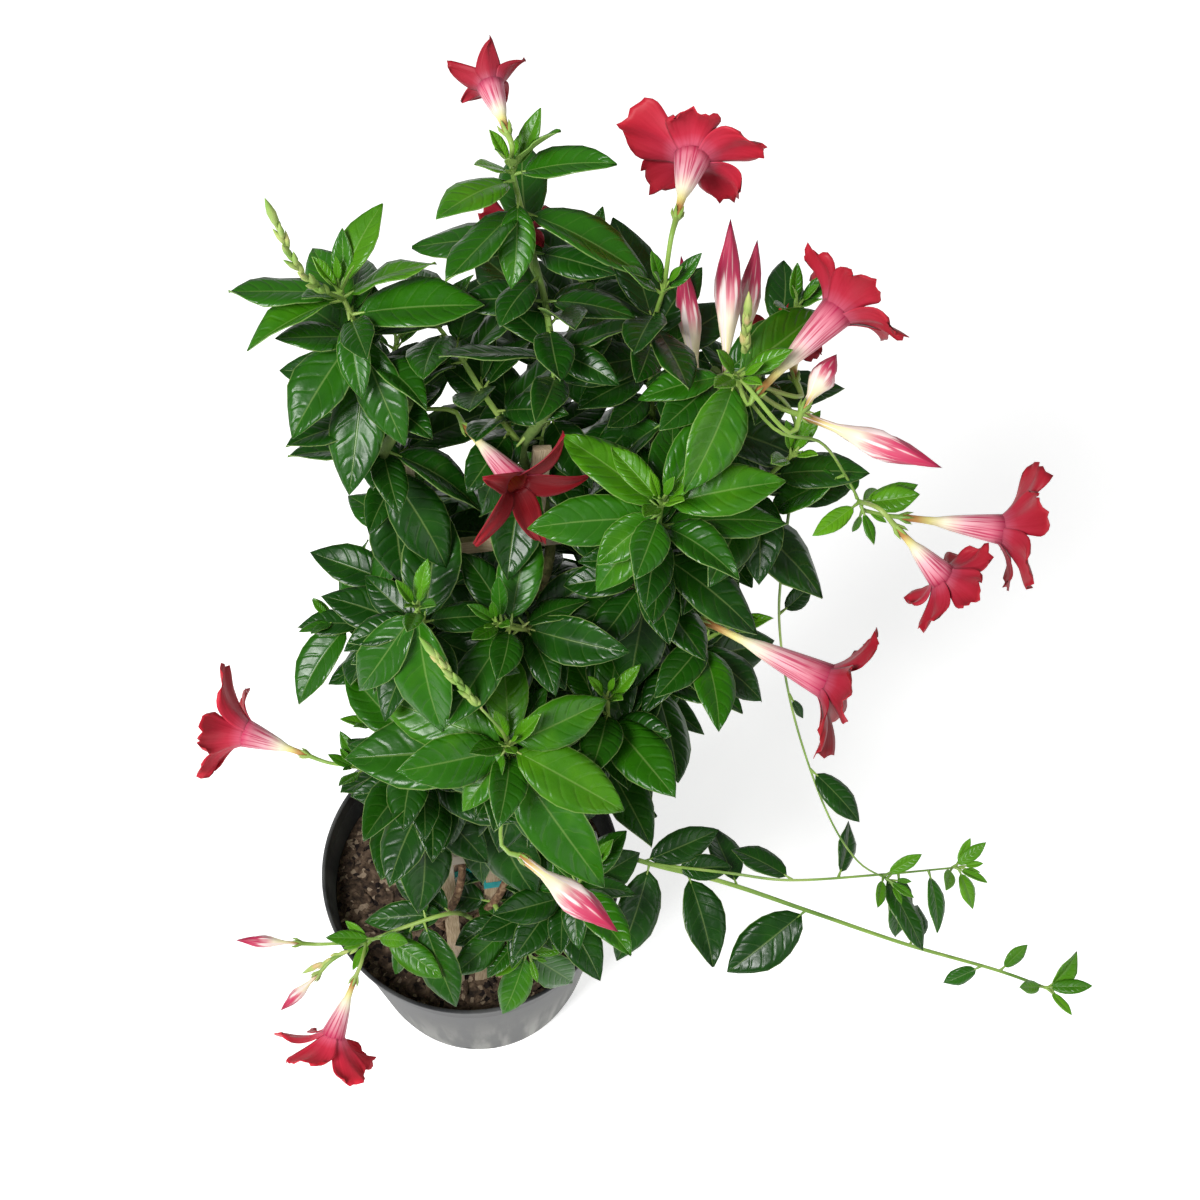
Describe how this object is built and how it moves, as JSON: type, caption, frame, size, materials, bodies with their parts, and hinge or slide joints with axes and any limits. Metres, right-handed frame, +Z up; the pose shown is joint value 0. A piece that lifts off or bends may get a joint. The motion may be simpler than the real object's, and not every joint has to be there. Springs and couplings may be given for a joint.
{
  "type": "potted climbing plant",
  "caption": "Mandevilla vine with red trumpet flowers on a wooden fan trellis in a round black nursery pot; stands on its pot, no moving parts.",
  "frame": {"origin": "middle of the pot's underside, on the ground it stands on", "axes": "+Z up; +Y is the side that the trellis and the plant lean to, -Y is the pot's side that the foot of the trellis is near"},
  "size_m": [0.6377, 0.3638, 1.0074],
  "materials": {
    "pot_plastic": "dusty satin",
    "bark_mix": "rough bark chips and fibre",
    "lath_wood": "dry sawn",
    "vine_bark": "rough bark",
    "tie_tape": "soft vinyl tape",
    "leaf": "waxy, glossy above and matte below",
    "young_leaf": "waxy, paler than the leaves of the climbing shoots",
    "petal": "velvety",
    "bud": "velvety"
  },
  "bodies": {
    "root": {"pot": "pot_plastic", "potting_mix": "bark_mix", "lath_left": "lath_wood", "woody_stem_left": "vine_bark", "lath_middle": "lath_wood", "woody_stem_middle": "vine_bark", "lath_right": "lath_wood", "woody_stem_right": "vine_bark", "cross_lath_1": "lath_wood", "cross_lath_2": "lath_wood", "cross_lath_3": "lath_wood", "tie": "tie_tape", "bloom_top": "petal", "bloom_behind_crown": "petal", "bloom_top_right": "petal", "bloom_right": "petal", "bloom_right_behind": "petal", "bloom_far_upper": "petal", "bloom_far_lower": "petal", "bloom_centre": "petal", "bloom_right_low": "petal", "bloom_left": "petal", "bloom_low_left": "petal", "bud_right_first": "bud", "bud_right_second": "bud", "bud_right_third": "bud", "bud_right_short": "bud", "bud_right_long": "bud", "bud_middle": "bud", "bud_low_left": "bud", "bud_low_left_small": "bud", "shoot_crown": "leaf", "shoot_left_crown": "leaf", "shoot_top_right": "leaf", "shoot_right_crown": "leaf", "shoot_right_rosette": "leaf", "shoot_middle_rosette": "leaf", "shoot_low_left": "leaf", "shoot_left_flower": "leaf", "shoot_left_middle": "leaf", "shoot_left_back": "leaf", "shoot_top_left": "leaf", "shoot_top_back": "leaf", "shoot_right_back": "leaf", "shoot_right_middle": "leaf", "shoot_right_low": "leaf", "shoot_back_right": "leaf", "shoot_front": "leaf", "shoot_left_front": "leaf", "shoot_low_right": "leaf", "shoot_low_front": "leaf", "shoot_low_back_left": "leaf", "shoot_back_left": "leaf", "shoot_back_middle": "leaf", "shoot_back_low": "leaf", "shoot_back_low_right": "leaf", "shoot_trailing": "young_leaf", "shoot_middle_front": "leaf", "shoot_left_column": "leaf"}
  },
  "joints": []
}
